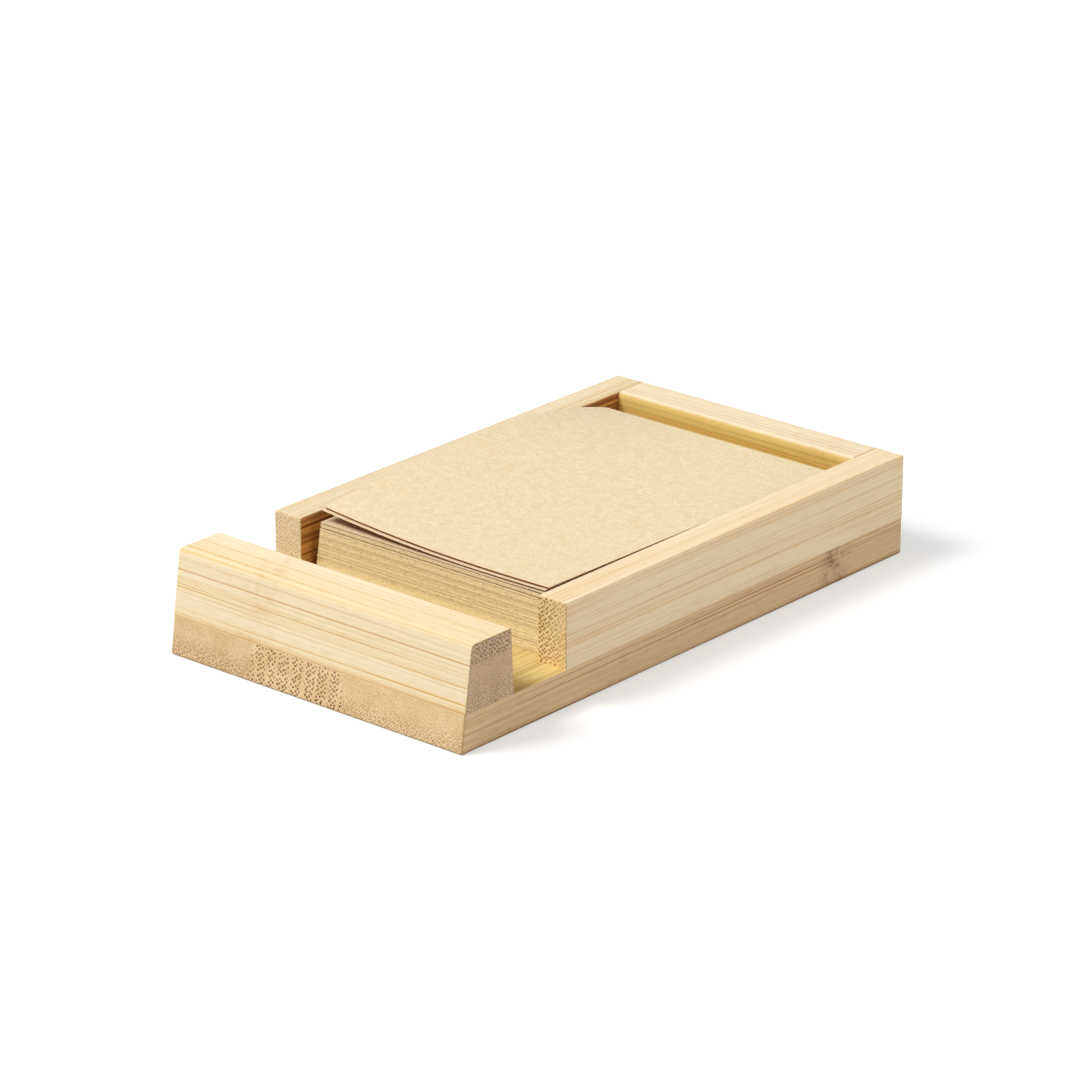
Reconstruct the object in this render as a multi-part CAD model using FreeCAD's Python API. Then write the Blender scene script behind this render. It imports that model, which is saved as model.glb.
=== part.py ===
import FreeCAD, Part
import math
import os

# Memo holder of solid bamboo, in millimetres. A base board carries a sloped front rail, which stops
# a phone that stands in the slot behind it, and a tray of two side rails and a back rail, glued down.
# The tray holds loose kraft sheets: a level stack, a few sheets on it, and three that have lifted or curled.
# The origin is at the middle of the footprint on the table: +X to the right, +Y to the back, +Z up.

# Loose sheets
sheet_width = 61.6
sheet_length = 91.8
sheet_thickness = 0.12
stack_sheet_count = 102
upper_sheet_count = 6
sheet_spread = 0.2
stack_lean = 1.8

# Room for the sheets in the tray
left_play = 3.05
right_play = 0.35
stack_setback = 2.8
back_play = 8.5

# Curl of the top sheet: how far its edges stand up, and how much of the width bends
curl_front_lift = 2.5
curl_peak_lift = 5.35
curl_back_lift = 0.05
curl_peak_run = 58.0
curl_reach = 44.0
right_curl_lift = 0.4
right_curl_hold = 30.0
right_curl_run = 64.0
right_curl_reach = 16.0
least_lift = 0.03

# Share of the left edge's curl that the sheets under it have
third_sheet_curl = 0.0
second_sheet_curl = 0.64
top_sheet_curl = 1.0

# Lie of the three top sheets: shifted to the left and set back, resting at the back and a little up at the front
third_sheet_shift = 0.2
second_sheet_shift = 0.6
top_sheet_shift = 0.35
third_sheet_setback = 0.1
second_sheet_setback = 0.7
top_sheet_setback = 1.3
third_sheet_gap = 0.24
second_sheet_gap = 0.45
top_sheet_gap = 0.77
rest_gap = 0.01

# Bamboo
base_thickness = 8.3
rail_height = 14.3
side_rail_width = 7.5
back_rail_depth = 8.95
front_rail_depth = 14.65
slot_width = 15.8
front_lean = math.radians(8.5)
stop_lean = math.radians(3.0)

# Eased edges
base_edge_radius = 0.6
front_rail_edge_radius = 1.2
stop_edge_radius = 0.5
rail_edge_radius = 0.4
back_rail_edge_radius = 1.2
corner_radius = 0.35

# Sizes that follow from the ones above
tray_width = left_play + sheet_width + right_play
tray_length = stack_setback + sheet_length + back_play
holder_width = tray_width + 2 * side_rail_width
front_step = base_thickness * math.tan(front_lean)
front_rounding = base_edge_radius * (math.tan(front_lean) + 1 / math.cos(front_lean) - 1)
holder_length = front_step + front_rail_depth + slot_width + tray_length + back_rail_depth
rail_top = base_thickness + rail_height
half_width = holder_width / 2
half_tray = tray_width / 2

# Places along the length, from the sharp front edge, which the rounding draws back, to the back face
front_y = -(holder_length + front_rounding) / 2
stop_front_y = front_y + front_step
stop_back_y = stop_front_y + front_rail_depth
tray_front_y = stop_back_y + slot_width
tray_back_y = tray_front_y + tray_length
back_y = tray_back_y + back_rail_depth

# Places of the sheets
sheets_left_x = -half_tray + left_play
sheets_front_y = tray_front_y + stack_setback
stack_top = base_thickness + stack_sheet_count * sheet_thickness
upper_top = stack_top + upper_sheet_count * sheet_thickness
third_sheet_rest = upper_top + rest_gap
second_sheet_rest = third_sheet_rest + sheet_thickness + rest_gap
top_sheet_rest = second_sheet_rest + sheet_thickness + rest_gap

# How much of the width both margins bend, where they reach into each other
shared_bend = max(curl_reach + right_curl_reach - sheet_width, 0)

same_level = 0.001


def lies_at(level):
    """A test for edges that lie at one height."""
    return lambda edge: all(abs(corner.Z - level) < same_level for corner in edge.Vertexes)


def is_upright(edge):
    """Whether a straight edge stands up rather than lies along the piece."""
    if not isinstance(edge.Curve, Part.Line):
        return False
    rise = abs(edge.lastVertex().Z - edge.firstVertex().Z)
    return rise > edge.Length / 2


def eased(solid, radius, chosen):
    """The solid with the chosen edges rounded over."""
    return solid.makeFillet(radius, [edge for edge in solid.Edges if chosen(edge)])


def prism(outline, travel):
    """A solid whose outline, a list of corners, is pushed along a straight way."""
    return Part.Face(Part.makePolygon(outline + outline[:1])).extrude(travel)


def base_board():
    """The board under everything: its front edge slopes back with the front rail's face."""
    outline = [
        FreeCAD.Vector(-half_width, front_y, 0),
        FreeCAD.Vector(-half_width, back_y, 0),
        FreeCAD.Vector(-half_width, back_y, base_thickness),
        FreeCAD.Vector(-half_width, stop_front_y, base_thickness),
    ]
    board = prism(outline, FreeCAD.Vector(holder_width, 0, 0))

    def is_open_edge(edge):
        return lies_at(0)(edge) or is_upright(edge)

    return eased(board, base_edge_radius, is_open_edge)


def front_rail():
    """The phone stop: a rail with a leaning section, rounded along its top edges, less so at the slot."""
    top_front_y = stop_front_y + rail_height * math.tan(front_lean)
    top_back_y = stop_back_y - rail_height * math.tan(stop_lean)
    outline = [
        FreeCAD.Vector(-half_width, stop_front_y, base_thickness),
        FreeCAD.Vector(-half_width, stop_back_y, base_thickness),
        FreeCAD.Vector(-half_width, top_back_y, rail_top),
        FreeCAD.Vector(-half_width, top_front_y, rail_top),
    ]
    rail = prism(outline, FreeCAD.Vector(holder_width, 0, 0))

    def top_edge_at(y):
        return lambda edge: lies_at(rail_top)(edge) and abs(edge.CenterOfMass.y - y) < same_level

    rail = eased(rail, front_rail_edge_radius, top_edge_at(top_front_y))
    rail = eased(rail, stop_edge_radius, top_edge_at(top_back_y))
    return eased(rail, corner_radius, is_upright)


def side_rail(side):
    """A rail along one side of the tray, from the slot to the back face: side is -1 left, 1 right."""
    inner_x = side * half_tray
    outer_x = side * half_width
    corner = FreeCAD.Vector(min(inner_x, outer_x), tray_front_y, base_thickness)
    rail = Part.makeBox(side_rail_width, back_y - tray_front_y, rail_height, corner)

    def is_open_corner(edge):
        at_front = edge.CenterOfMass.y < tray_front_y + rail_edge_radius
        at_outside = abs(edge.CenterOfMass.x - outer_x) < rail_edge_radius
        return is_upright(edge) and (at_front or at_outside)

    rail = eased(rail, rail_edge_radius, lies_at(rail_top))
    return eased(rail, corner_radius, is_open_corner)


def back_rail():
    """The rail that closes the tray, butted between the side rails."""
    corner = FreeCAD.Vector(-half_tray, tray_back_y, base_thickness)
    rail = Part.makeBox(tray_width, back_rail_depth, rail_height, corner)

    def top_edge_at(y):
        return lambda edge: lies_at(rail_top)(edge) and abs(edge.CenterOfMass.y - y) < same_level

    rail = eased(rail, rail_edge_radius, top_edge_at(back_y))
    return eased(rail, back_rail_edge_radius, top_edge_at(tray_back_y))


def flat_sheet(number):
    """One level sheet of the pile, counted from the base board, a little out of line with the rest."""
    turn = number * math.pi * (3 - math.sqrt(5))
    lean = stack_lean * max(1 - number / stack_sheet_count, 0)
    corner = FreeCAD.Vector(
        sheets_left_x - lean + sheet_spread * math.cos(turn),
        sheets_front_y + sheet_spread * math.sin(turn),
        base_thickness + number * sheet_thickness,
    )
    return Part.makeBox(sheet_width, sheet_length, sheet_thickness, corner)


def memo_stack():
    """The level stack that fills the tray, sheet on sheet, leaning over to the left at its foot."""
    return Part.makeCompound([flat_sheet(number) for number in range(stack_sheet_count)])


def left_lift(run):
    """How far a curled sheet's left edge stands up, at a distance back from its front edge."""
    if run < curl_peak_run:
        share = (curl_peak_run - run) / curl_peak_run
        return curl_peak_lift - (curl_peak_lift - curl_front_lift) * share ** 2
    share = (run - curl_peak_run) / (sheet_length - curl_peak_run)
    return curl_peak_lift - (curl_peak_lift - curl_back_lift) * share ** 2


def right_lift(run):
    """How far its right edge stands up: all along the front half, and next to nothing behind it."""
    share = min(max((run - right_curl_hold) / (right_curl_run - right_curl_hold), 0), 1)
    return least_lift + right_curl_lift * (1 - share ** 2 * (3 - 2 * share))


def bent_margin(foot_x, y, level, side, lift, reach):
    """A margin that bends up towards one side: the point on its arc at a distance past its foot."""
    radius = reach ** 2 / (2 * lift)

    def point(distance):
        turn = distance / radius
        rise = radius * (1 - math.cos(turn))
        return FreeCAD.Vector(foot_x + side * radius * math.sin(turn), y, level + rise)

    return point


def sheet_section(shift, y, level, run, curl):
    """The outline of a curled sheet across its width: bent margins, and a middle that is level or bent by both."""
    left_foot_x = sheets_left_x - shift + curl_reach
    right_foot_x = sheets_left_x - shift + sheet_width - right_curl_reach
    up = FreeCAD.Vector(0, 0, sheet_thickness)
    left_at = bent_margin(left_foot_x, y, level, -1, max(curl * left_lift(run), least_lift), curl_reach)
    right_at = bent_margin(right_foot_x, y, level, 1, right_lift(run), right_curl_reach)
    left = [left_at(shared_bend), left_at((shared_bend + curl_reach) / 2), left_at(curl_reach)]
    right = [right_at(shared_bend), right_at((shared_bend + right_curl_reach) / 2), right_at(right_curl_reach)]

    def middle(start, end, raised):
        if shared_bend == 0:
            return Part.makeLine(start, end)
        rise = left_at(shared_bend / 2).z + right_at(shared_bend / 2).z - 2 * level
        halfway = FreeCAD.Vector((start.x + end.x) / 2, y, level + rise + raised)
        return Part.Arc(start, halfway, end).toShape()

    under = [
        Part.Arc(left[2], left[1], left[0]).toShape(),
        middle(left[0], right[0], 0),
        Part.Arc(right[0], right[1], right[2]).toShape(),
    ]
    over = [
        Part.Arc(right[2] + up, right[1] + up, right[0] + up).toShape(),
        middle(right[0] + up, left[0] + up, sheet_thickness),
        Part.Arc(left[0] + up, left[1] + up, left[2] + up).toShape(),
    ]
    right_end = [Part.makeLine(right[2], right[2] + up)]
    left_end = [Part.makeLine(left[2] + up, left[2])]
    return Part.Wire(under + right_end + over + left_end)


def curled_sheet(shift, setback, rest, front_gap, curl):
    """A sheet whose left margin has curled up, most of all past the middle of its length."""
    before_peak = [curl_peak_run * step / 6 for step in range(7)]
    after_peak = [curl_peak_run + (sheet_length - curl_peak_run) * step / 4 for step in range(1, 5)]
    sections = []
    for run in before_peak + after_peak:
        level = rest + front_gap * (1 - run / sheet_length)
        sections.append(sheet_section(shift, sheets_front_y + setback + run, level, run, curl))
    return Part.makeLoft(sections, True, False)


nodes = {
    "base_board": base_board(),
    "front_rail": front_rail(),
    "left_rail": side_rail(-1),
    "right_rail": side_rail(1),
    "back_rail": back_rail(),
    "memo_stack": memo_stack(),
    "third_sheet": curled_sheet(
        third_sheet_shift, third_sheet_setback, third_sheet_rest, third_sheet_gap, third_sheet_curl
    ),
    "second_sheet": curled_sheet(
        second_sheet_shift, second_sheet_setback, second_sheet_rest, second_sheet_gap, second_sheet_curl
    ),
    "top_sheet": curled_sheet(
        top_sheet_shift, top_sheet_setback, top_sheet_rest, top_sheet_gap, top_sheet_curl
    ),
}
for place in range(upper_sheet_count):
    nodes["upper_sheet_" + str(place + 1)] = flat_sheet(stack_sheet_count + place)

os.makedirs("parts", exist_ok=True)
for name, shape in nodes.items():
    shape.exportStep("parts/" + name + ".step")
    print(name, len(shape.Solids), "solids", round(shape.Volume, 1), "mm3, valid:", shape.isValid())
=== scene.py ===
# %% [markdown]
# # A bamboo memo holder, from frame to picture
#
# The object is a low desk holder of solid bamboo. A base board carries a sloped front rail, a slot that a
# phone can stand in, and a tray of loose kraft sheets. The construction comes in as a fixed frame, in
# metres, so this lesson is about looks: wood that shows streaks on its long faces and fibre dots on its
# cut ends, and paper that is many thin sheets and not a block.

# %% Load the frame
import math
import bpy
from mathutils import Matrix, Vector


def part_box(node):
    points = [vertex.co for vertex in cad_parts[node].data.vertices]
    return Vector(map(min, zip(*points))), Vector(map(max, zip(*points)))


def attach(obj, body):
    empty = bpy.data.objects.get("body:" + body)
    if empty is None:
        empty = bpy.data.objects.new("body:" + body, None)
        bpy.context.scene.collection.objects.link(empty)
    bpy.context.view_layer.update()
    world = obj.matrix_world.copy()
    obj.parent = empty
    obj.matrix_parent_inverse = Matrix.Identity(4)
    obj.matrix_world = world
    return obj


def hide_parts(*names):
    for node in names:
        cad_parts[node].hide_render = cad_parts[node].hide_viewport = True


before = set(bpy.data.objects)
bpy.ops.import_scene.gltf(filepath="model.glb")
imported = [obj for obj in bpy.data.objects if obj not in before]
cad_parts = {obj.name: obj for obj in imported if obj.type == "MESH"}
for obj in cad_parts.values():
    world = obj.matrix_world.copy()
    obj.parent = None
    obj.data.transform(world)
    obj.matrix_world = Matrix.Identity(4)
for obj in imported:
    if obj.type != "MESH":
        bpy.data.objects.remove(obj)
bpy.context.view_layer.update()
MM = 0.001

# %% [markdown]
# ## Camera
#
# Product photographs of small things are taken from far away with a long lens, which keeps parallel edges
# nearly parallel. The camera is set by where it stands round the object, so the numbers say what a
# photographer would say: how far round, how high and how far off.

# %% Stand the camera
def stand_camera(azimuth, elevation, distance, aim, slide, lens):
    """A camera round the aim point; slide moves it sideways and up without turning it."""
    turn, height = math.radians(azimuth), math.radians(elevation)
    back = Vector((math.sin(turn) * math.cos(height), -math.cos(turn) * math.cos(height), math.sin(height)))
    right = Vector((0, 0, 1)).cross(back).normalized()
    up = back.cross(right)
    data = bpy.data.cameras.new("camera")
    data.lens = lens
    data.sensor_width = 36.0
    camera = bpy.data.objects.new("camera", data)
    bpy.context.collection.objects.link(camera)
    place = Matrix((right, up, back)).transposed().to_4x4()
    place.translation = Vector(aim) + back * distance + right * slide[0] + up * slide[1]
    camera.matrix_world = place
    bpy.context.scene.camera = camera
    return camera


camera = stand_camera(
    azimuth=40.66,
    elevation=21.32,
    distance=1.0313,
    aim=(0, -0.00028, 0.010),
    slide=(-0.00095, 0.00393),
    lens=163.35,
)
print("camera stands at", [round(value, 3) for value in camera.location])

# %% [markdown]
# ## Small helpers for node trees
#
# Shader trees and geometry trees are both built from nodes and links. A few helpers keep the recipes
# short: one adds a node and fills its sockets, from values or from other nodes' outputs, one does a sum,
# one reads a value between two limits, and one steps from level to level.

# %% Node helpers
def socket_of(sockets, key):
    """A socket by number, or the first one in use with that name."""
    if isinstance(key, int):
        return sockets[key]
    return next(socket for socket in sockets if socket.name == key and socket.enabled)


def add(tree, kind, inputs=None, **settings):
    """A new node with its settings, its inputs set or linked."""
    node = tree.nodes.new(kind)
    for name, value in settings.items():
        setattr(node, name, value)
    for key, value in (inputs or {}).items():
        socket = socket_of(node.inputs, key)
        if isinstance(value, bpy.types.NodeSocket):
            tree.links.new(value, socket)
        else:
            socket.default_value = value
    return node


def calc(tree, operation, *values):
    """One sum on numbers or sockets."""
    return add(tree, "ShaderNodeMath", dict(enumerate(values)), operation=operation).outputs[0]


def total(tree, *values):
    """All the values added up."""
    result = values[0]
    for value in values[1:]:
        result = calc(tree, "ADD", result, value)
    return result


def ramp(tree, value, low, high, start=0.0, end=1.0):
    """A value read between two limits as a smooth share, from start to end."""
    node = add(
        tree,
        "ShaderNodeMapRange",
        {"Value": value, "From Min": low, "From Max": high, "To Min": start, "To Max": end},
        interpolation_type="SMOOTHSTEP",
    )
    return node.outputs["Result"]


def stepped(tree, value, edges, levels):
    """A level for each stretch between edges, as the value passes them."""
    result = levels[0]
    for edge, before, after in zip(edges, levels, levels[1:]):
        past = calc(tree, "GREATER_THAN", value, edge)
        result = calc(tree, "MULTIPLY_ADD", past, after - before, result)
    return result


# %% [markdown]
# Patterns and colours have helpers, too. Colours are written as they look on a screen and turned into
# linear light, noise is read at a place, and a sheet of cells gives dots: how far a point is from the
# nearest middle, and a random number that all points of that cell share.

# %% Pattern and colour helpers
def vector(tree, x, y, z):
    """Three numbers or sockets as one vector."""
    return add(tree, "ShaderNodeCombineXYZ", {"X": x, "Y": y, "Z": z}).outputs[0]


def blend(tree, share, first, second, way="MIX"):
    """Two colours mixed by a share. The node has sockets for other kinds too, so these go by number."""
    factor, first_colour, second_colour, mixed_colour = 0, 6, 7, 2
    inputs = {factor: share, first_colour: first, second_colour: second}
    return add(tree, "ShaderNodeMix", inputs, data_type="RGBA", blend_type=way).outputs[mixed_colour]


def tint(red, green, blue):
    """A colour as seen on a screen, 0 to 255, in the linear light that shaders use."""
    def linear(value):
        share = value / 255
        return share / 12.92 if share <= 0.04045 else ((share + 0.055) / 1.055) ** 2.4
    return (linear(red), linear(green), linear(blue), 1.0)


def noise(tree, place, scale, detail=2.0, roughness=0.5):
    """Soft noise, about 0 to 1, at a place."""
    inputs = {"Vector": place, "Scale": scale, "Detail": detail, "Roughness": roughness}
    return add(tree, "ShaderNodeTexNoise", inputs).outputs[0]


def stretch(tree, place, factors):
    """A place with each of its axes scaled."""
    return add(tree, "ShaderNodeVectorMath", {0: place, 1: factors}, operation="MULTIPLY").outputs[0]


def flat_cells(tree, spot, randomness=1.0):
    """A sheet of cells: the distance to the nearest middle, and a random number of that cell's own."""
    inputs = {"Vector": spot, "Scale": 1.0, "Randomness": randomness}
    cells = add(tree, "ShaderNodeTexVoronoi", inputs, voronoi_dimensions="2D").outputs
    own = add(tree, "ShaderNodeSeparateColor", {0: cells["Color"]}).outputs[0]
    return cells["Distance"], own


def new_material(name):
    """An empty material with its shader, ready for a recipe."""
    material = bpy.data.materials.new(name)
    material.use_nodes = True
    tree = material.node_tree
    return material, tree, tree.nodes["Principled BSDF"]


# %% [markdown]
# ## Floor, backdrop and light
#
# The holder stands on a white sweep. The floor is a plain pale surface that takes the soft shadow. For
# the camera alone it glows a little, so it photographs as white without pouring more light on the wood.

# %% Floor
def pale_floor(reach):
    """A wide white floor that keeps the shadow."""
    mesh = bpy.data.meshes.new("floor")
    corners = [(-reach, -reach, 0), (reach, -reach, 0), (reach, reach, 0), (-reach, reach, 0)]
    mesh.from_pydata(corners, [], [(0, 1, 2, 3)])
    floor = bpy.data.objects.new("floor", mesh)
    bpy.context.collection.objects.link(floor)
    material, tree, shader = new_material("white_sweep")
    shader.inputs["Base Color"].default_value = (0.56, 0.56, 0.56, 1)
    shader.inputs["Roughness"].default_value = 0.9
    shader.inputs["Specular IOR Level"].default_value = 0.0
    shader.inputs["Emission Color"].default_value = (1, 1, 1, 1)
    rays = add(tree, "ShaderNodeLightPath").outputs
    seen = total(tree, rays["Is Camera Ray"], rays["Is Glossy Ray"], rays["Is Transmission Ray"])
    spot = add(tree, "ShaderNodeTexCoord").outputs["Object"]
    from_middle = add(tree, "ShaderNodeVectorMath", {0: spot}, operation="LENGTH").outputs["Value"]
    glow = calc(tree, "MULTIPLY", seen, ramp(tree, from_middle, low=0.10, high=0.50, start=0.52, end=0.85))
    tree.links.new(glow, shader.inputs["Emission Strength"])
    mesh.materials.append(material)
    return floor


floor = pale_floor(reach=4.0)
print("floor:", floor.name)

# %% [markdown]
# One large soft box hangs above the left front corner, a warm card stands low on the right, and the rest
# comes from the white room. That is how a small product is lit: soft shadows, and no side is lost in the
# dark.

# %% Light
def soft_box(name, place, aim, width, height, power, colour=(1, 1, 1)):
    """A soft light that faces its aim, and that the camera doesn't see."""
    data = bpy.data.lights.new(name, "AREA")
    data.shape = "RECTANGLE"
    data.size = width
    data.size_y = height
    data.energy = power
    data.color = colour
    light = bpy.data.objects.new(name, data)
    light.visible_camera = False
    bpy.context.collection.objects.link(light)
    light.location = place
    light.rotation_euler = (Vector(aim) - Vector(place)).to_track_quat("-Z", "Y").to_euler()
    return light


def white_room(strength):
    """Even light from all round, and plain white where the camera looks past the floor."""
    world = bpy.data.worlds.new("white_room")
    bpy.context.scene.world = world
    world.use_nodes = True
    tree = world.node_tree
    rays = add(tree, "ShaderNodeLightPath").outputs
    seen = total(tree, rays["Is Camera Ray"], rays["Is Glossy Ray"], rays["Is Transmission Ray"])
    tree.nodes["Background"].inputs["Color"].default_value = (1, 1, 1, 1)
    level = ramp(tree, seen, low=0.0, high=1.0, start=strength, end=1.0)
    tree.links.new(level, tree.nodes["Background"].inputs["Strength"])


bpy.context.scene.view_settings.view_transform = "Standard"
white_room(strength=0.28)
soft_box(
    "key",
    place=(-0.58, -0.84, 1.41),
    aim=(0, 0, 0),
    width=0.7,
    height=0.7,
    power=26.0,
)
soft_box(
    "low_card",
    place=(0.60, 0.12, 0.13),
    aim=(0, 0, 0.01),
    width=0.7,
    height=0.2,
    power=1.2,
    colour=(1, 0.93, 0.92),
)

# %% [markdown]
# ## Bamboo
#
# A bamboo strip is a bundle of stiff brown fibres in pale pith, all running one way. That one fact gives
# both of its faces: cut across, the fibres are dots, and cut along, the same fibres are streaks. So the
# wood is one solid pattern, laid out across the grain and drawn out along it, with a slow wander. Where
# the cane had a joint, the fibres fray for some millimetres. Boards are glued from strips with different
# fibre, which is a step in the pattern at each glue line.

# %% Where the fibres run
def millimetres(tree):
    """Where a point is on its piece, in millimetres, and which way the surface faces there."""
    coordinates = add(tree, "ShaderNodeTexCoord").outputs
    scaled = {0: coordinates["Object"], "Scale": 1 / MM}
    place = add(tree, "ShaderNodeVectorMath", scaled, operation="SCALE").outputs[0]
    axes = add(tree, "ShaderNodeSeparateXYZ", {0: place}).outputs
    facing = add(tree, "ShaderNodeSeparateXYZ", {0: coordinates["Normal"]}).outputs
    return place, axes, facing


def centred(tree, value):
    """Noise as a push to either side."""
    return calc(tree, "SUBTRACT", value, 0.5)


def near(tree, value, middle, inner, outer):
    """1 within inner of a middle value, falling to 0 at outer."""
    return ramp(tree, calc(tree, "ABSOLUTE", calc(tree, "SUBTRACT", value, middle)), outer, inner)


class Cane:
    """A piece of cane: where a point is in it, in millimetres, and patterns that follow its fibres.

    grain is the axis that the fibres follow. layers are the glued strips, each with where it starts, counted
    along one axis. joints are the places along the grain where the cane had a joint, each with a strength.
    """

    def __init__(self, tree, grain, layers, counted, joints):
        self.tree = tree
        self.place, self.axes, self.facing = millimetres(tree)
        self.along = self.axes[grain]
        self.layers = layers
        self.layer_starts = [strip["start"] for strip in layers[1:]]
        self.layer_place = self.axes[counted]
        across = self.axes["X" if grain == "Y" else "Y"]
        up = self.axes["Z"]
        self.fray = 0.0
        for joint, strength in joints:
            by_joint = near(tree, self.along, joint, inner=1.5, outer=7.0)
            self.fray = calc(tree, "MULTIPLY_ADD", by_joint, strength, self.fray)
        # The wander is slow, and slowest along the grain
        sway_along, sway_across = 0.012, 0.05
        slow = vector(tree, calc(tree, "MULTIPLY", self.along, sway_along),
                      calc(tree, "MULTIPLY", across, sway_across), calc(tree, "MULTIPLY", up, sway_across))
        sway = centred(tree, noise(tree, slow, scale=1.0, detail=1.0))
        ruffle_depth, sway_up = 0.6, 0.7
        ruffle = calc(tree, "MULTIPLY", centred(tree, noise(tree, self.place, scale=0.6)), ruffle_depth)
        shift = calc(tree, "MULTIPLY_ADD", ruffle, self.fray, sway)
        self.fibre_across = calc(tree, "ADD", across, shift)
        self.fibre_up = calc(tree, "MULTIPLY_ADD", shift, sway_up, up)

    def by_layer(self, what):
        """A property of the glued strips, with a step at each glue line."""
        levels = [strip[what] for strip in self.layers]
        return stepped(self.tree, self.layer_place, self.layer_starts, levels)

    def strands(self, fineness, length, detail=1.0, start=0.0):
        """Noise that is fine across the grain and long along it, both in cycles per mm."""
        tree = self.tree
        spot = vector(tree, calc(tree, "MULTIPLY", self.fibre_across, fineness),
                      calc(tree, "MULTIPLY", self.fibre_up, fineness),
                      calc(tree, "MULTIPLY_ADD", self.along, length, start))
        return noise(tree, spot, scale=1.0, detail=detail, roughness=0.6)

    def bundle_lines(self, per_mm, inner, outer, start):
        """Fibre bundles laid open along the grain: thin lines, each with a strength of its own."""
        tree = self.tree
        spot = vector(tree, calc(tree, "MULTIPLY_ADD", self.fibre_across, per_mm, start),
                      calc(tree, "MULTIPLY_ADD", self.fibre_up, per_mm, start), 0.0)
        distance, own = flat_cells(tree, spot)
        few_strong = 1.6
        strength = calc(tree, "POWER", own, few_strong)
        return calc(tree, "MULTIPLY", ramp(tree, distance, outer, inner), strength)


# %% [markdown]
# Along the grain, soft bands come first. Coats of colour follow: clouds, pale gleams, fibre laid open as
# fine threads and a few strong lines, glue, and the specks of a joint. Each is noise or cells at its own
# fineness, with a start of its own, so that no two repeat each other. A face that looks into the tray or
# the slot gets stronger streaks along its grain and a darker, more golden tone, which is painted shade of
# the recess. Along the base's bottom edge, the sides darken towards the floor: painted contact shade.

# %% Colour along the grain
def long_grain(cane, tones, lined, bottom_edge_shade, shaded_inside):
    """Colour of the long faces, with the clouds and threads that the sheen follows."""
    tree = cane.tree
    bands = calc(tree, "ADD", cane.strands(fineness=0.25, length=0.003), cane.by_layer("tone"))
    cloudy = cane.strands(fineness=1.5, length=0.006, detail=3.0, start=5.0)
    here = ramp(tree, cane.strands(fineness=0.5, length=0.012, start=9.0), 0.34, 0.56, start=0.25)
    there = ramp(tree, cane.strands(fineness=0.4, length=0.010, start=23.0), 0.42, 0.60)
    fine_lines = cane.bundle_lines(per_mm=2.0 * lined, inner=0.15, outer=0.36, start=4.3)
    strong_lines = cane.bundle_lines(per_mm=0.70 * lined, inner=0.04, outer=0.12, start=8.6)
    threads = calc(tree, "MULTIPLY", fine_lines, here)
    lines = calc(tree, "MULTIPLY", strong_lines, there)
    gleam_place = cane.strands(fineness=0.80, length=0.005, start=17.0)
    gleams = near(tree, gleam_place, middle=0.5, inner=0.03, outer=0.12)
    dashes = ramp(tree, cane.strands(fineness=2.0, length=0.25, start=31.0), 0.50, 0.75, end=0.20)
    specks = ramp(tree, cane.strands(fineness=0.35, length=0.25, detail=4.0), 0.42, 0.70, start=0.08, end=0.6)
    coats = [
        (ramp(tree, cloudy, 0.42, 0.72, end=0.42), "streak"),
        (calc(tree, "MULTIPLY", gleams, 0.6), "pale"),
        (calc(tree, "MULTIPLY", threads, 0.95), "streak"),
        (dashes, "streak"),
        (calc(tree, "MULTIPLY", lines, 0.85), "line"),
    ]
    for start in cane.layer_starts:
        glue = near(tree, cane.layer_place, start, inner=0.04, outer=0.20)
        coats.append((calc(tree, "MULTIPLY", glue, 0.7), "line"))
    coats.append((calc(tree, "MULTIPLY", specks, cane.fray), "line"))
    # Painted contact shade: darker towards the floor along the base's bottom edge
    if bottom_edge_shade:
        near_floor = ramp(tree, cane.fibre_up, 1.1, 0.3)
        low = calc(tree, "MULTIPLY", near_floor, ramp(tree, cloudy, 0.3, 0.6, start=0.4))
        coats.append((calc(tree, "MULTIPLY", low, bottom_edge_shade), "line"))
    colour = blend(tree, ramp(tree, bands, 0.30, 0.75), tones["pale"], tones["mid"])
    for share, tone in coats:
        colour = blend(tree, share, colour, tones[tone])
    # Faces that look into a recess: the streaks along the grain grow stronger, and a darker, more golden tint
    # is painted shade
    if shaded_inside:
        axis, sign, depth = shaded_inside
        recess_shade = ramp(tree, calc(tree, "MULTIPLY", cane.facing[axis], sign), 0.5, 0.95)
        recess_streaks = cane.strands(fineness=1.5, length=0.004, detail=2.0, start=41.0)
        deep = blend(tree, ramp(tree, recess_streaks, 0.42, 0.62, end=depth), colour, tones["dot"])
        colour = blend(tree, recess_shade, colour, blend(tree, 1.0, deep, tones["shaded_inside"], "MULTIPLY"))
    return colour, cloudy, threads


# %% [markdown]
# Across the grain, the fibre bundles are dots in diagonal rows, so the cells lie on a lattice that is
# turned by half a right angle and loosened a little. In some strips, clear ribs run between the dots, and
# towards the heart of the cane the dots thin out.

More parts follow.
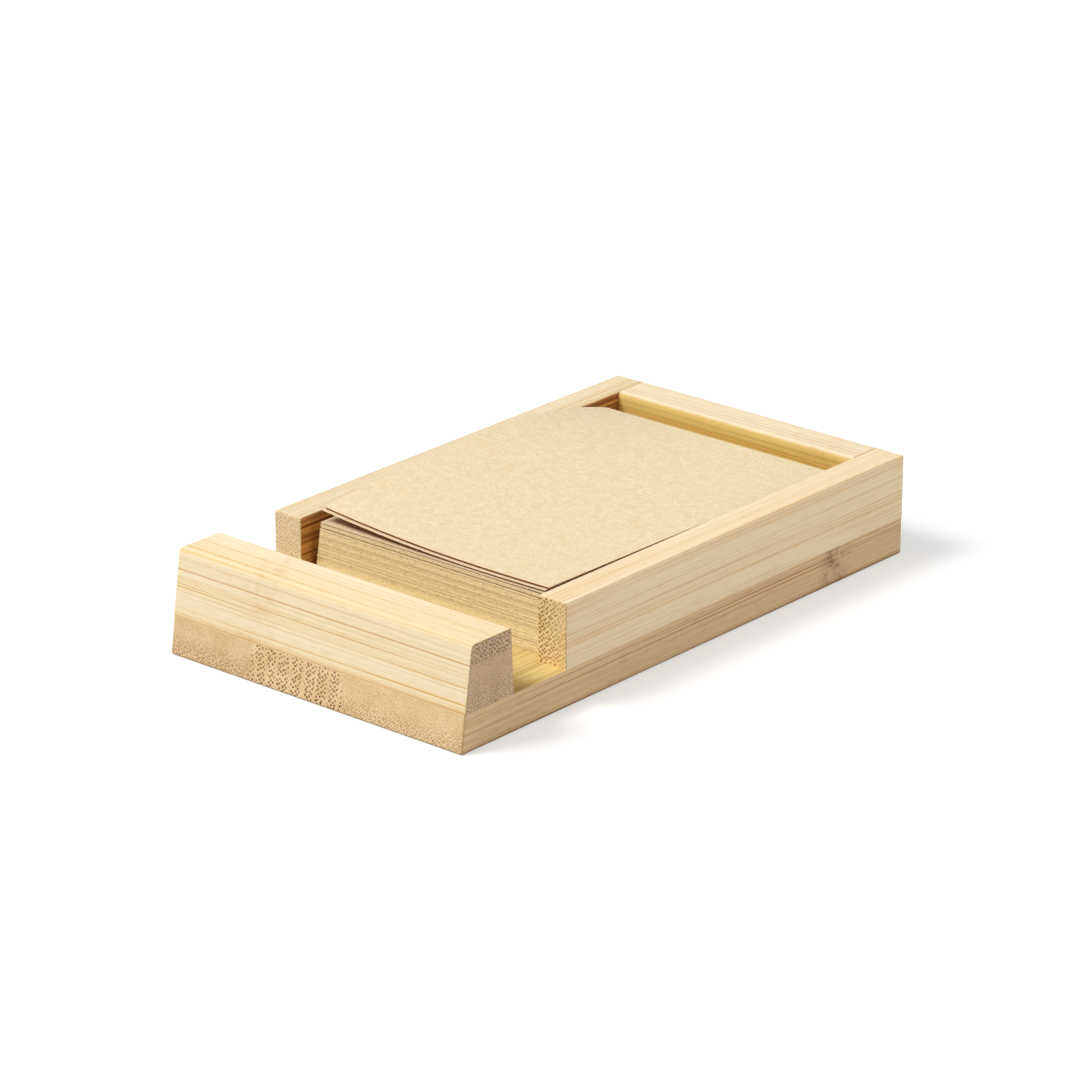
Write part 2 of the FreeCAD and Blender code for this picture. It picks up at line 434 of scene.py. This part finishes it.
# %% Dots across the grain
def end_grain(cane, tones, thins):
    """Colour of the cut ends, and the dots on them."""
    tree = cane.tree
    row_width, row_height = 0.66, 0.76
    per_mm = cane.by_layer("per_mm")
    wide = calc(tree, "MULTIPLY", calc(tree, "MULTIPLY", cane.fibre_across, row_width), per_mm)
    tall = calc(tree, "MULTIPLY", calc(tree, "MULTIPLY", cane.fibre_up, row_height), per_mm)
    lattice = vector(tree, calc(tree, "ADD", wide, tall), calc(tree, "SUBTRACT", tall, wide), 0.0)
    distance, own = flat_cells(tree, lattice, cane.by_layer("loose"))
    dots = ramp(tree, calc(tree, "SUBTRACT", cane.by_layer("radius"), distance), low=-0.08, high=0.06)
    shown = ramp(tree, own, low=0.0, high=1.0, start=0.75)
    ribs_per_mm = 0.30
    rib_wander = noise(tree, cane.place, scale=0.12, detail=1.0)
    rib_place = calc(tree, "FRACT", calc(tree, "MULTIPLY_ADD", cane.fibre_across, ribs_per_mm, rib_wander))
    ribs = near(tree, rib_place, middle=0.5, inner=0.09, outer=0.15)
    between_ribs = calc(tree, "SUBTRACT", 1.0, calc(tree, "MULTIPLY", ribs, cane.by_layer("ribs")))
    shown = calc(tree, "MULTIPLY", shown, between_ribs)
    if thins:
        axis, *limits = thins
        left_over = calc(tree, "MAXIMUM", ramp(tree, cane.axes[axis], *limits), cane.by_layer("kept"))
        shown = calc(tree, "MULTIPLY", shown, left_over)
    mottle = ramp(tree, noise(tree, cane.place, scale=0.22, detail=3.0), 0.3, 0.7)
    grit = ramp(tree, noise(tree, cane.place, scale=2.6, detail=1.0), 0.45, 0.75, end=0.18)
    bundles = calc(tree, "MULTIPLY", dots, shown)
    ends = blend(tree, mottle, tones["end"], tones["end_mid"])
    ends = blend(tree, calc(tree, "ADD", grit, cane.by_layer("stain")), ends, tones["dot"])
    ends = blend(tree, calc(tree, "MULTIPLY", bundles, cane.by_layer("dark")), ends, tones["dot"])
    return ends, dots


# %% [markdown]
# The finish joins the two. It asks how far a surface faces along the grain, and shows the ends or the
# long faces. Rounded edges are painted a little darker, as shade that tones down the highlight they catch,
# and the sanded, lacquered surface has a soft sheen that the fibres break up.

# %% Bamboo finish
def bamboo(name, grain, tones, layers, counted, joints=(), thins=None, shaded_inside=None, lined=1.0, bottom_edge_shade=0.0):
    """A bamboo finish, with all places in millimetres.

    tones holds the colours by name, and grain, layers, counted and joints describe the cane. thins is an
    axis, two places on it and the share of the dots at each. The faces that look into a recess are given by
    an axis and a sign, with how far their streaks deepen, and get painted shade. lined is how close the
    lines along the grain are, and the last number is how dark the painted contact shade at the bottom edge
    is.
    """
    material, tree, shader = new_material(name)
    cane = Cane(tree, grain, layers, counted, joints)
    colour, cloudy, threads = long_grain(cane, tones, lined, bottom_edge_shade, shaded_inside)
    ends, dots = end_grain(cane, tones, thins)
    facing = {axis: calc(tree, "ABSOLUTE", cane.facing[axis]) for axis in "XYZ"}
    colour = blend(tree, ramp(tree, facing[grain], 0.55, 0.85), colour, ends)
    flatness = calc(tree, "MAXIMUM", calc(tree, "MAXIMUM", facing["X"], facing["Y"]), facing["Z"])
    # Painted shade on the rounded edges, to tone down the highlight they catch
    eased_edge_shade = ramp(tree, flatness, 0.96, 0.78, end=0.9)
    colour = blend(tree, eased_edge_shade, colour, blend(tree, 1.0, colour, tones["edge"], "MULTIPLY"))
    tree.links.new(colour, shader.inputs["Base Color"])
    tree.links.new(ramp(tree, cloudy, 0.2, 0.8, start=0.50, end=0.68), shader.inputs["Roughness"])
    shader.inputs["Specular IOR Level"].default_value = 0.2
    dot_depth, thread_depth = -0.4, -0.5
    grooved = calc(tree, "MULTIPLY_ADD", threads, thread_depth, cloudy)
    relief = calc(tree, "MULTIPLY_ADD", dots, dot_depth, grooved)
    bump = add(tree, "ShaderNodeBump", {"Height": relief, "Strength": 0.12, "Distance": 0.08 * MM})
    tree.links.new(bump.outputs[0], shader.inputs["Normal"])
    return material


# %% [markdown]
# The rails are pale and even. The base board is a browner cut of cane, glued from three strips that show
# on its front edge: fine dots on both sides, and coarse dark dots with clear ribs between. The front rail
# has two layers, the upper one with more fibre, and the left rail's face into the tray takes the darkest
# painted shade. All colours are written as they look in even white light, except the tones for faces in a
# recess and for the rounded edges, which are painted shade.

# %% Bamboo colours
rail_tones = {
    "pale": tint(254, 238, 206),
    "mid": tint(248, 225, 184),
    "streak": tint(220, 174, 96),
    "line": tint(204, 144, 62),
    # Painted shade for faces that look into a recess, multiplied in
    "shaded_inside": tint(253, 240, 172),
    # Painted shade for the rounded edges, multiplied in
    "edge": tint(240, 232, 214),
    "end": tint(252, 227, 172),
    "end_mid": tint(247, 216, 156),
    "dot": tint(132, 76, 24),
}
front_rail_tones = {
    **rail_tones,
    "pale": tint(255, 238, 202),
    "mid": tint(247, 222, 172),
    "streak": tint(226, 176, 74),
    "line": tint(208, 142, 42),
    "end": tint(224, 193, 156),
    "end_mid": tint(214, 183, 147),
    "dot": tint(92, 64, 42),
}
left_rail_tones = {
    **rail_tones,
    "pale": tint(248, 231, 197),
    "mid": tint(240, 217, 174),
    # The darkest painted shade, for the face deep in the tray
    "shaded_inside": tint(232, 186, 130),
    "end": tint(252, 229, 186),
    "end_mid": tint(246, 219, 174),
    "dot": tint(126, 74, 36),
}
right_rail_tones = {
    **rail_tones,
    "pale": tint(254, 236, 200),
    "mid": tint(248, 222, 176),
    "streak": tint(220, 170, 88),
}
board_tones = {
    "pale": tint(236, 207, 160),
    "mid": tint(224, 192, 142),
    "streak": tint(164, 116, 62),
    "line": tint(106, 60, 26),
    # A light painted shade for the floors of the slot and the tray
    "shaded_inside": tint(248, 251, 216),
    # Painted shade for the rounded edges, multiplied in
    "edge": tint(236, 226, 206),
    "end": tint(246, 217, 166),
    "end_mid": tint(236, 203, 150),
    "dot": tint(112, 50, 22),
}
print("bamboo colours:", list(rail_tones))

# %% [markdown]
# Each piece then names its glued strips and what is its own: joints of the cane, dots that thin out, a
# face that looks into the tray, which takes painted shade. The frame's own wooden shapes stay, and only
# get these finishes.

# %% Bamboo pieces
def layer(start, per_mm, radius, loose, dark, tone, ribs=0.0, kept=0.0, stain=0.0):
    """One glued strip: where it starts, its dots per mm, their radius as a share of their spacing, how loose
    their rows are and how dark they are, how far the strip is off the common tone, how clear its ribs are,
    the share of its dots that never thins out, and how far the dots' colour stains its ends."""
    return {"start": start, "per_mm": per_mm, "radius": radius, "loose": loose, "dark": dark, "tone": tone,
            "ribs": ribs, "kept": kept, "stain": stain}


bamboo_finishes = {
    "base_board": bamboo(
        "bamboo_base_board",
        "Y",
        board_tones,
        counted="X",
        layers=[
            layer(start=-40, per_mm=1.75, radius=0.32, loose=0.75, dark=0.62, tone=0.05, stain=0.09),
            layer(start=-17.5, per_mm=1.22, radius=0.31, loose=0.50, dark=1.0, tone=0.08, ribs=0.8, kept=0.8),
            layer(start=7.5, per_mm=1.75, radius=0.32, loose=0.55, dark=0.58, tone=0.0, kept=0.3),
        ],
        joints=[(47.5, 1.2)],
        thins=("Z", 6.5, 0.8, 0.18, 1.0),
        # Painted shade on the floors of the slot and the tray
        shaded_inside=("Z", 1, 0.0),
        lined=1.25,
        # Painted contact shade along the bottom edge
        bottom_edge_shade=0.5,
    ),
    "front_rail": bamboo(
        "bamboo_front_rail",
        "X",
        front_rail_tones,
        counted="Z",
        layers=[
            # The lowest is only the seam on the base board
            layer(start=0, per_mm=1.6, radius=0.32, loose=0.6, dark=0.52, tone=0.0),
            layer(start=8.5, per_mm=1.6, radius=0.32, loose=0.6, dark=0.52, tone=0.0),
            layer(start=18.3, per_mm=1.35, radius=0.32, loose=0.5, dark=0.75, tone=0.06, kept=1.0),
        ],
        joints=[(-17, 0.35)],
        thins=("Z", 16, 9, 0.45, 1.0),
    ),
    "left_rail": bamboo(
        "bamboo_left_rail",
        "Y",
        left_rail_tones,
        counted="Z",
        layers=[layer(start=0, per_mm=1.50, radius=0.29, loose=0.60, dark=0.40, tone=0.05)],
        # Painted shade and strong streaks on the face into the tray
        shaded_inside=("X", 1, 0.8),
    ),
    "right_rail": bamboo(
        "bamboo_right_rail",
        "Y",
        right_rail_tones,
        counted="Z",
        layers=[layer(start=0, per_mm=1.28, radius=0.33, loose=0.45, dark=0.92, tone=0.0)],
        thins=("X", 32.5, 40, 1.0, 0.45),
    ),
    "back_rail": bamboo(
        "bamboo_back_rail",
        "X",
        rail_tones,
        counted="Z",
        layers=[layer(start=0, per_mm=1.3, radius=0.30, loose=0.55, dark=0.2, tone=0.1)],
        joints=[(24, 0.3)],
        # Painted shade on the face into the tray
        shaded_inside=("Y", -1, 0.15),
    ),
}
for node, finish in bamboo_finishes.items():
    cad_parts[node].data.materials.clear()
    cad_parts[node].data.materials.append(finish)
print("bamboo on", list(bamboo_finishes))

# %% [markdown]
# ## Kraft paper
#
# Kraft is unbleached, so its fibres show as a soft mottle with a few darker flecks. The cut edges show
# browner fibre dashes, and their warmer tone is partly painted light that bounces between the sheets.
# Undersides are a dark brown that is painted shade, for the narrow gaps between the sheets, and the curled
# sheets' cut edges take the same painted shade. Each sheet also has tones of its own, for its faces and
# its edges, kept in attributes that the sheets bring with them.

# %% Kraft recipe
kraft_tones = {
    "face": tint(250, 233, 198),
    "mottle": tint(241, 220, 176),
    "pulp": tint(232, 208, 162),
    "fleck": tint(206, 172, 120),
    "edge": tint(255, 242, 194),
    "cut_fibre": tint(206, 150, 80),
    # Painted shade: this orange brown on the curled sheets' cut edges stands in for the shadowed gap beneath
    # them
    "gap_shade_edge": tint(196, 98, 16),
    # Painted shade: this dark brown on the undersides stands in for the shadow in the gaps between sheets
    "under": tint(176, 102, 34),
    "brown_sheet": tint(180, 140, 88),
}


def kraft_paper(tones):
    """Uncoated kraft: mottle, flecks, browner edges, painted gap shade on undersides and curled cut edges,
    and a tone for each sheet.
    """
    material, tree, shader = new_material("kraft_paper")
    place, axes, facing = millimetres(tree)
    mottle = noise(tree, place, scale=0.55, detail=4.0, roughness=0.6)
    pulp = noise(tree, place, scale=1.6, detail=4.0, roughness=0.65)
    flecks = noise(tree, stretch(tree, place, (2.6, 1.2, 2.6)), scale=1.0)
    colour = blend(tree, ramp(tree, mottle, 0.30, 0.70), tones["face"], tones["mottle"])
    colour = blend(tree, ramp(tree, pulp, 0.40, 0.70, end=0.8), colour, tones["pulp"])
    colour = blend(tree, ramp(tree, flecks, 0.64, 0.78, end=0.5), colour, tones["fleck"])
    # Cut edges are warmer, with fibre dashes: partly their fibres, partly painted light bounced between the
    # sheets
    edge = ramp(tree, calc(tree, "ABSOLUTE", facing["Z"]), 0.75, 0.35)
    cut = noise(tree, stretch(tree, place, (0.80, 0.80, 4.0)), scale=1.0, detail=4.0, roughness=0.75)
    edges = blend(tree, ramp(tree, cut, 0.46, 0.66, end=0.64), tones["edge"], tones["cut_fibre"])
    # Each sheet's share of painted gap shade on its cut edges
    edge_shade = add(tree, "ShaderNodeAttribute", attribute_name="edge_shade").outputs["Fac"]
    edges = blend(tree, edge_shade, edges, tones["gap_shade_edge"])
    colour = blend(tree, edge, colour, edges)
    # Faces that look down take the painted gap shade
    under = ramp(tree, facing["Z"], -0.4, -0.8)
    colour = blend(tree, under, colour, tones["under"])
    sheet_tone = add(tree, "ShaderNodeAttribute", attribute_name="sheet_tone").outputs["Fac"]
    colour = blend(tree, sheet_tone, colour, tones["brown_sheet"])
    tree.links.new(colour, shader.inputs["Base Color"])
    shader.inputs["Roughness"].default_value = 0.85
    shader.inputs["Specular IOR Level"].default_value = 0.2
    bump = add(tree, "ShaderNodeBump", {"Height": pulp, "Strength": 0.2, "Distance": 0.06 * MM})
    tree.links.new(bump.outputs[0], shader.inputs["Normal"])
    return material


kraft = kraft_paper(kraft_tones)
print("paper:", kraft.name)

# %% [markdown]
# ## The stack of sheets
#
# A hundred sheets that were dropped into a tray never line up: each lies a fraction of a millimetre off,
# and here and there a few sit back and leave a dark line. This repeats by a rule, so Geometry Nodes make
# it. A line of points gives the heights, a thin sheet is put on each point, and seeded random numbers
# push it out of line.

# %% A geometry tree, from named inputs to a plain mesh
def new_tree(name, inputs):
    """A geometry tree with named inputs, and its input and output nodes."""
    tree = bpy.data.node_groups.new(name, "GeometryNodeTree")
    kinds = {int: "NodeSocketInt", float: "NodeSocketFloat", tuple: "NodeSocketVector"}
    for title, kind in inputs.items():
        socket_kind = kinds.get(kind, "NodeSocketMaterial")
        tree.interface.new_socket(name=title, in_out="INPUT", socket_type=socket_kind)
    tree.interface.new_socket(name="Geometry", in_out="OUTPUT", socket_type="NodeSocketGeometry")
    return tree, tree.nodes.new("NodeGroupInput").outputs, tree.nodes.new("NodeGroupOutput")


def make_piece(name, tree, values):
    """Runs a tree with its inputs set, and keeps the result as a plain mesh object."""
    maker = bpy.data.objects.new(name + "_maker", bpy.data.meshes.new(name + "_maker"))
    bpy.context.collection.objects.link(maker)
    modifier = maker.modifiers.new("tree", "NODES")
    modifier.node_group = tree
    for item in tree.interface.items_tree:
        if item.in_out == "INPUT":
            modifier[item.identifier] = values[item.name]
    evaluated = maker.evaluated_get(bpy.context.evaluated_depsgraph_get())
    mesh = bpy.data.meshes.new_from_object(evaluated)
    mesh.name = name
    bpy.data.objects.remove(maker)
    piece = bpy.data.objects.new(name, mesh)
    bpy.context.collection.objects.link(piece)
    return piece


def stored(tree, geometry, title, value, domain):
    """Geometry with a number kept under a name on each of its items."""
    inputs = {"Geometry": geometry, "Name": title, "Value": value}
    node = add(tree, "GeometryNodeStoreNamedAttribute", inputs, data_type="FLOAT", domain=domain)
    return node.outputs[0]


def random_in(tree, low, high, seed):
    """A seeded random number for each item."""
    inputs = {"Min": low, "Max": high, "Seed": seed}
    node = add(tree, "FunctionNodeRandomValue", inputs, data_type="FLOAT")
    return next(output for output in node.outputs if output.enabled)


# %% [markdown]
# Each sheet of the stack gets four random numbers, from seeds that follow each other: a push to the side,
# a push to the front or back, a lot that says whether it sits back, and a tone. The pile leans towards
# its foot.

# %% Sheets on a line of points
def sheet_stack_tree():
    """Sheets on a line of points, each pushed a little out of line."""
    tree, given, result = new_tree("sheet_stack", {
        "Count": int, "Pitch": float, "Size": tuple, "Place": tuple, "Spread": float, "Lean": float,
        "Set Back Share": float, "Set Back": float, "Seed": int, "Paper": None,
    })
    rise = vector(tree, 0.0, 0.0, given["Pitch"])
    row = {"Count": given["Count"], "Start Location": given["Place"], "Offset": rise}
    points = add(tree, "GeometryNodeMeshLine", row).outputs[0]
    seeds = [calc(tree, "ADD", given["Seed"], step) for step in range(4)]
    least = calc(tree, "MULTIPLY", given["Spread"], -1.0)
    side_push = random_in(tree, least, given["Spread"], seeds[0])
    front_push = random_in(tree, least, given["Spread"], seeds[1])
    lot = random_in(tree, 0.0, 1.0, seeds[2])
    some = calc(tree, "LESS_THAN", lot, given["Set Back Share"])
    index = add(tree, "GeometryNodeInputIndex").outputs[0]
    # The last two sheets sit back by twice as much
    below_top, top_share = 2.5, 2.0
    topmost = calc(tree, "GREATER_THAN", index, calc(tree, "SUBTRACT", given["Count"], below_top))
    back_share = calc(tree, "MAXIMUM", some, calc(tree, "MULTIPLY", topmost, top_share))
    back_push = calc(tree, "MULTIPLY", back_share, given["Set Back"])
    depth = calc(tree, "SUBTRACT", 1.0, calc(tree, "DIVIDE", index, given["Count"]))
    side_push = calc(tree, "SUBTRACT", side_push, calc(tree, "MULTIPLY", given["Lean"], depth))
    push = vector(tree, side_push, calc(tree, "ADD", front_push, back_push), 0.0)
    points = add(tree, "GeometryNodeSetPosition", {"Geometry": points, "Offset": push}).outputs[0]
    slab = {"Size": given["Size"], "Vertices X": 4, "Vertices Y": 5}
    sheet = add(tree, "GeometryNodeMeshCube", slab).outputs[0]
    sheets = add(tree, "GeometryNodeInstanceOnPoints", {"Points": points, "Instance": sheet}).outputs[0]
    darkest, few_dark = 0.62, 3.0
    tone = calc(tree, "POWER", random_in(tree, 0.0, darkest, seeds[3]), few_dark)
    sheets = stored(tree, sheets, "sheet_tone", tone, "INSTANCE")
    whole = add(tree, "GeometryNodeRealizeInstances", {"Geometry": sheets}).outputs[0]
    whole = add(tree, "GeometryNodeSetMaterial", {"Geometry": whole, "Material": given["Paper"]}).outputs[0]
    tree.links.new(whole, result.inputs["Geometry"])
    return tree


# %% [markdown]
# The frame knows how large a sheet is and where the stack stands, so these sizes are read from it. A
# sheet is a little thinner than the spacing, so that no two faces touch. One mesh takes the place of the
# frame's stack.

# %% Fill the tray
sheet_low, sheet_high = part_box("upper_sheet_1")
sheet_size = sheet_high - sheet_low
stack_low, stack_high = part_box("memo_stack")
cad_spread = 0.2 * MM
paper_share = 0.96
stack_right = stack_high.x - cad_spread
stack_middle = Vector((stack_right - sheet_size.x / 2, (stack_low.y + stack_high.y) / 2, 0))
sheet_count = round((stack_high.z - stack_low.z) / sheet_size.z)
pitch = (stack_high.z - stack_low.z) / sheet_count
memo_stack = make_piece("memo_stack_sheets", sheet_stack_tree(), {
    "Count": sheet_count,
    "Pitch": pitch,
    "Size": (sheet_size.x, sheet_size.y, pitch * paper_share),
    "Place": (stack_middle.x, stack_middle.y, stack_low.z + pitch / 2),
    "Spread": 0.07 * MM,
    "Lean": 1.8 * MM,
    "Set Back Share": 0.03,
    "Set Back": 0.35 * MM,
    "Seed": 11,
    "Paper": kraft,
})
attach(memo_stack, "memo_stack")
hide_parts("memo_stack")
print("stack of", sheet_count, "sheets,", len(memo_stack.data.polygons), "faces")

# %% [markdown]
# ## The loose sheets on top
#
# Paper that has lain in dry air curls across its width. The top sheet lifts along the left edge, most of
# all past the middle, and lies flat at the back. The one below it lifts nearly as far, and a third just
# leaves the pile. A curl follows a rule too: the bent margin is an arc whose length is fixed, so the
# sheet keeps its width, and only how tightly it bends changes along the edge. The same tree makes the
# level sheets under them, with no lift.

# %% Curled sheets
def kraft_sheet_tree():
    """One sheet: a thin slab, its left margin bent up into an arc and its right margin lifted a little."""
    tree, given, result = new_tree("kraft_sheet", {
        "Size": tuple, "Place": tuple, "Cuts Across": int, "Cuts Along": int,
        "Front Lift": float, "Peak Lift": float, "Back Lift": float, "Peak Run": float, "Reach": float,
        "Right Lift": float, "Right Hold": float, "Right Run": float, "Right Reach": float,
        "Least Lift": float, "Front Gap": float, "Tone": float, "Edge Tone": float, "Paper": None,
    })
    size = add(tree, "ShaderNodeSeparateXYZ", {0: given["Size"]}).outputs
    cuts = {"Size": given["Size"], "Vertices X": given["Cuts Across"], "Vertices Y": given["Cuts Along"]}
    slab = add(tree, "GeometryNodeMeshCube", cuts).outputs[0]
    spot = add(tree, "ShaderNodeSeparateXYZ", {0: add(tree, "GeometryNodeInputPosition").outputs[0]}).outputs
    from_left = calc(tree, "ADD", spot["X"], calc(tree, "DIVIDE", size["X"], 2.0))
    run = calc(tree, "ADD", spot["Y"], calc(tree, "DIVIDE", size["Y"], 2.0))
    # Lift of the left edge: two parabolas that meet at the peak
    before = calc(tree, "DIVIDE", calc(tree, "SUBTRACT", given["Peak Run"], run), given["Peak Run"])
    length_after = calc(tree, "SUBTRACT", size["Y"], given["Peak Run"])
    after = calc(tree, "DIVIDE", calc(tree, "SUBTRACT", run, given["Peak Run"]), length_after)
    before = calc(tree, "MAXIMUM", before, 0.0)
    after = calc(tree, "MAXIMUM", after, 0.0)
    front_drop = calc(tree, "MULTIPLY", calc(tree, "SUBTRACT", given["Peak Lift"], given["Front Lift"]),
                      calc(tree, "MULTIPLY", before, before))
    back_drop = calc(tree, "MULTIPLY", calc(tree, "SUBTRACT", given["Peak Lift"], given["Back Lift"]),
                     calc(tree, "MULTIPLY", after, after))
    lift = calc(tree, "SUBTRACT", calc(tree, "SUBTRACT", given["Peak Lift"], front_drop), back_drop)

    def bend(past_foot, edge_lift, reach):
        """Rise, and pull towards the middle, at a distance past the foot of an arc.

        The first terms of the sine and the cosine are near enough for so slight a bend.
        """
        doubled = calc(tree, "MULTIPLY", edge_lift, 2.0)
        tightness = calc(tree, "DIVIDE", doubled, calc(tree, "MULTIPLY", reach, reach))
        distance = calc(tree, "MAXIMUM", past_foot, 0.0)
        turn = calc(tree, "MULTIPLY", tightness, distance)
        rise = calc(tree, "MULTIPLY", calc(tree, "MULTIPLY", turn, distance), 0.5)
        turned = calc(tree, "MULTIPLY", calc(tree, "MULTIPLY", turn, turn), distance)
        pull = calc(tree, "DIVIDE", turned, 6.0)
        return rise, pull

    left_rise, left_pull = bend(calc(tree, "SUBTRACT", given["Reach"], from_left), lift, given["Reach"])
    past_right = calc(tree, "SUBTRACT", from_left, calc(tree, "SUBTRACT", size["X"], given["Right Reach"]))
    right_share = ramp(tree, run, given["Right Hold"], given["Right Run"], 1.0, 0.0)
    right_lift = calc(tree, "MULTIPLY_ADD", given["Right Lift"], right_share, given["Least Lift"])
    right_rise, right_pull = bend(past_right, right_lift, given["Right Reach"])
    to_back = calc(tree, "SUBTRACT", 1.0, calc(tree, "DIVIDE", run, size["Y"]))
    level = calc(tree, "MULTIPLY", given["Front Gap"], to_back)
    push = vector(tree, calc(tree, "SUBTRACT", left_pull, right_pull), 0.0,
                  total(tree, left_rise, right_rise, level))
    offset = add(tree, "ShaderNodeVectorMath", {0: push, 1: given["Place"]}, operation="ADD").outputs[0]
    bent = add(tree, "GeometryNodeSetPosition", {"Geometry": slab, "Offset": offset}).outputs[0]
    bent = add(tree, "GeometryNodeSetShadeSmooth", {0: bent}).outputs[0]
    angle = add(tree, "GeometryNodeInputMeshEdgeAngle").outputs[0]
    sharp_angle = 0.6
    sharp = {0: bent, "Selection": calc(tree, "GREATER_THAN", angle, sharp_angle), "Shade Smooth": False}
    bent = add(tree, "GeometryNodeSetShadeSmooth", sharp, domain="EDGE").outputs[0]
    # The face tone, and the share of painted gap shade on the cut edges
    bent = stored(tree, bent, "sheet_tone", given["Tone"], "POINT")
    bent = stored(tree, bent, "edge_shade", given["Edge Tone"], "POINT")
    whole = add(tree, "GeometryNodeRealizeInstances", {"Geometry": bent}).outputs[0]
    whole = add(tree, "GeometryNodeSetMaterial", {"Geometry": whole, "Material": given["Paper"]}).outputs[0]
    tree.links.new(whole, result.inputs["Geometry"])
    return tree


# %% [markdown]
# There is one recipe for each kind of sheet: level, curled, and two that start from the curled one and
# change a few of its numbers. Level sheets need few cuts, and bent ones need many.

# %% Recipes of the loose sheets
flat_sheet = {
    "Size": (sheet_size.x, sheet_size.y, sheet_size.z * paper_share),
    "Cuts Across": 14,
    "Cuts Along": 20,
    "Front Lift": 0.0,
    "Peak Lift": 0.0,
    "Back Lift": 0.0,
    "Peak Run": 58 * MM,
    "Reach": 44 * MM,
    "Right Lift": 0.0,
    "Right Hold": 30 * MM,
    "Right Run": 64 * MM,
    "Right Reach": 16 * MM,
    "Least Lift": 0.0,
    "Front Gap": 0.0,
    "Tone": 0.02,
    "Edge Tone": 0.0,
    "Paper": kraft,
}
curled_sheet = {
    **flat_sheet,
    "Cuts Across": 49,
    "Cuts Along": 65,
    "Front Lift": 2.3 * MM,
    "Peak Lift": 5.35 * MM,
    "Back Lift": 0.05 * MM,
    "Right Lift": 0.15 * MM,
    "Least Lift": 0.03 * MM,
    "Front Gap": 1.02 * MM,
    "Tone": 0.0,
    # The top sheet's cut edges take most of the painted gap shade
    "Edge Tone": 0.9,
}
second_curl = {
    **curled_sheet,
    "Peak Lift": 4.4 * MM,
    "Back Lift": 0.04 * MM,
    "Front Gap": 0.60 * MM,
    # The second sheet's cut edges take a little painted gap shade
    "Edge Tone": 0.2,
}
third_lift = {
    **curled_sheet,
    "Front Lift": 0.03 * MM,
    "Peak Lift": 0.03 * MM,
    "Back Lift": 0.03 * MM,
    "Front Gap": 0.20 * MM,
    # This browner tone is painted shade, where the third sheet lies beneath the curled ones
    "Tone": 0.2,
    "Edge Tone": 0.0,
}
sheet_tree = kraft_sheet_tree()
print("sheet tree:", sheet_tree.name)

# %% [markdown]
# Each sheet takes the place of its node in the frame and rides on it. The front edges come closer to the
# front of the pile than the frame has them, each by a share of the way, because hands tap a pile of paper
# level.

# %% Lay the loose sheets
pile_front = stack_low.y + cad_spread
line_up = {"upper_sheet": 0.7, "second_sheet": 0.35, "top_sheet": 0.2}
to_right = {"top_sheet": 0.3 * MM}


def lay_sheet(node, recipe):
    """A sheet in the place of its node: its underside is the node's, its right and front edges nearly so."""
    low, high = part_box(node)
    share = line_up.get(node.rstrip("_0123456789"), 0.0)
    right = high.x + to_right.get(node, 0.0)
    corner = Vector((right, low.y + (pile_front - low.y) * share, low.z))
    centre = corner + Vector((-sheet_size.x, sheet_size.y, sheet_size.z)) / 2
    sheet = make_piece(node + "_paper", sheet_tree, {**recipe, "Place": tuple(centre)})
    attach(sheet, node)
    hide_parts(node)
    return sheet


sheets = {node: flat_sheet for node in sorted(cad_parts) if node.startswith("upper_sheet_")}
sheets["third_sheet"] = third_lift
sheets["second_sheet"] = second_curl
sheets["top_sheet"] = curled_sheet
below = memo_stack
for node, recipe in sheets.items():
    below = lay_sheet(node, recipe)
print("loose sheets:", list(sheets))
